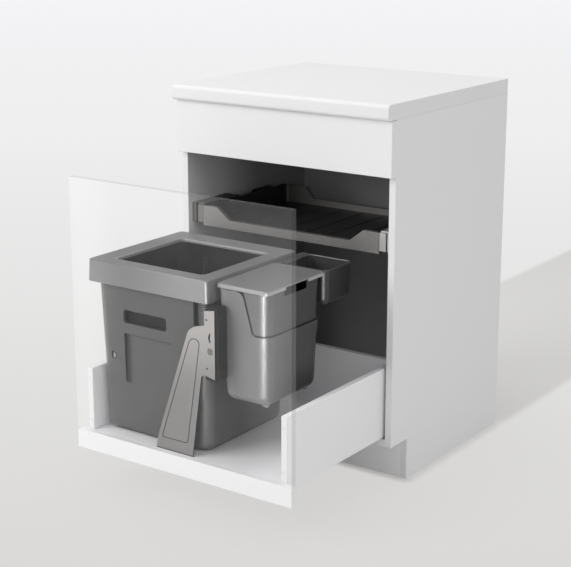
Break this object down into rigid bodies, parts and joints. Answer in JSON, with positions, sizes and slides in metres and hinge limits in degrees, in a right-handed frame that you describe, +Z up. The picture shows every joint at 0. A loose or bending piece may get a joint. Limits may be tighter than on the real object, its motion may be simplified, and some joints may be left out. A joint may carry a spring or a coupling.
{
  "type": "pull out trash cabinet",
  "caption": "Base cabinet with a full-extension waste drawer: bag-frame bin, hanging food caddy with lid, small box, steel stabiliser behind a tall see-through front, and a shallow tray above.",
  "frame": {"origin": "on the floor, midway across the cabinet and midway between the back edge and the front face of the drawer as it stands pulled out", "axes": "+X to the right seen from the front, +Y towards the back, +Z up"},
  "size_m": [0.6, 0.917, 0.892],
  "materials": {
    "white_laminate": "satin",
    "white_drawer_board": "satin",
    "grey_backboard": "matte",
    "see_through_front": "satin",
    "beech": "matte",
    "zinc_steel": "satin",
    "roller_plastic": "satin",
    "warm_grey_steel": "satin",
    "dark_steel": "satin",
    "black_plastic": "matte",
    "titanium_grey": "satin",
    "bin_grey": "satin"
  },
  "bodies": {
    "cabinet": {"back_panel": "grey_backboard", "bottom_panel": "white_laminate", "carcass_dowels": "beech", "fascia": "white_laminate", "fascia_rail": "white_laminate", "fascia_screws": "zinc_steel", "front_stretcher": "white_laminate", "plinth_board": "white_laminate", "rear_stretcher": "white_laminate", "runner_cabinet_rail_left": "zinc_steel", "runner_cabinet_rail_right": "zinc_steel", "runner_screws": "zinc_steel", "side_panel_left": "white_laminate", "side_panel_right": "white_laminate", "tray_cover_left": "titanium_grey", "tray_cover_right": "titanium_grey", "tray_screws": "zinc_steel", "tray_slide_cabinet_left": "zinc_steel", "tray_slide_cabinet_right": "zinc_steel", "tray_spacers_left": "black_plastic", "tray_spacers_right": "black_plastic", "worktop": "white_laminate", "worktop_screws": "zinc_steel"},
    "pullout": {"caddy_bracket": "black_plastic", "caddy_rail": "dark_steel", "drawer_back": "white_drawer_board", "drawer_dowels": "beech", "drawer_floor": "white_drawer_board", "drawer_side_left": "white_drawer_board", "drawer_side_right": "white_drawer_board", "front_panel": "see_through_front", "runner_drawer_rail_left": "zinc_steel", "runner_drawer_rail_right": "zinc_steel", "stabiliser": "warm_grey_steel", "stabiliser_screws": "zinc_steel"},
    "runner_middle_left": {"runner_middle_rail_left": "zinc_steel", "runner_rollers_left": "roller_plastic"},
    "runner_middle_right": {"runner_middle_rail_right": "zinc_steel", "runner_rollers_right": "roller_plastic"},
    "adjuster_cam": {"adjuster_cam": "dark_steel"},
    "big_bin": {"big_bin": "bin_grey"},
    "bag_frame": {"bag_frame": "bin_grey"},
    "caddy_holder": {"caddy_holder": "bin_grey"},
    "caddy_bucket": {"caddy_bucket": "bin_grey"},
    "caddy_lid": {"caddy_lid": "bin_grey"},
    "small_box": {"small_box": "bin_grey"},
    "tray": {"tray_back_rim": "titanium_grey", "tray_end_cap_left": "titanium_grey", "tray_end_cap_right": "titanium_grey", "tray_floor": "black_plastic", "tray_front_rim": "titanium_grey", "tray_side_left": "black_plastic", "tray_side_right": "black_plastic", "tray_slide_tray_left": "zinc_steel", "tray_slide_tray_right": "zinc_steel"},
    "tray_middle_left": {"tray_slide_middle_left": "zinc_steel", "tray_slide_rollers_left": "roller_plastic"},
    "tray_middle_right": {"tray_slide_middle_right": "zinc_steel", "tray_slide_rollers_right": "roller_plastic"}
  },
  "joints": [
    {"name": "pullout_slide", "type": "slide", "parent": "cabinet", "child": "pullout", "axis": [0, -1, 0], "range_m": [-0.376, 0.07]},
    {"name": "runner_left_slide", "type": "slide", "parent": "cabinet", "child": "runner_middle_left", "axis": [0, -1, 0], "range_m": [-0.188, 0.035]},
    {"name": "runner_right_slide", "type": "slide", "parent": "cabinet", "child": "runner_middle_right", "axis": [0, -1, 0], "range_m": [-0.188, 0.035]},
    {"name": "tray_slide", "type": "slide", "parent": "cabinet", "child": "tray", "axis": [0, -1, 0], "range_m": [0, 0.28]},
    {"name": "tray_slide_left", "type": "slide", "parent": "cabinet", "child": "tray_middle_left", "axis": [0, -1, 0], "range_m": [0, 0.14]},
    {"name": "tray_slide_right", "type": "slide", "parent": "cabinet", "child": "tray_middle_right", "axis": [0, -1, 0], "range_m": [0, 0.14]},
    {"name": "adjuster_cam_turn", "type": "hinge", "parent": "pullout", "child": "adjuster_cam", "pos_m": [0.0776, -0.4425, 0.39], "axis": [0, 1, 0], "range_deg": [-90, 90]},
    {"name": "big_bin_lift", "type": "slide", "parent": "pullout", "child": "big_bin", "axis": [0, 0, 1], "range_m": [0, 0.6]},
    {"name": "bag_frame_lift", "type": "slide", "parent": "big_bin", "child": "bag_frame", "axis": [0, 0, 1], "range_m": [0, 0.06]},
    {"name": "caddy_holder_lift", "type": "slide", "parent": "pullout", "child": "caddy_holder", "axis": [0, 0, 1], "range_m": [0, 0.46]},
    {"name": "caddy_bucket_lift", "type": "slide", "parent": "caddy_holder", "child": "caddy_bucket", "axis": [0, 0, 1], "range_m": [0, 0.245]},
    {"name": "caddy_lid_lift", "type": "slide", "parent": "caddy_bucket", "child": "caddy_lid", "axis": [0, 0, 1], "range_m": [0, 0.06]},
    {"name": "small_box_lift", "type": "slide", "parent": "pullout", "child": "small_box", "axis": [0, 0, 1], "range_m": [0, 0.28]}
  ],
  "couplings": [
    {"joint": "runner_left_slide", "follows": "pullout_slide", "ratio": 0.5},
    {"joint": "runner_right_slide", "follows": "pullout_slide", "ratio": 0.5},
    {"joint": "tray_slide_left", "follows": "tray_slide", "ratio": 0.5},
    {"joint": "tray_slide_right", "follows": "tray_slide", "ratio": 0.5}
  ]
}
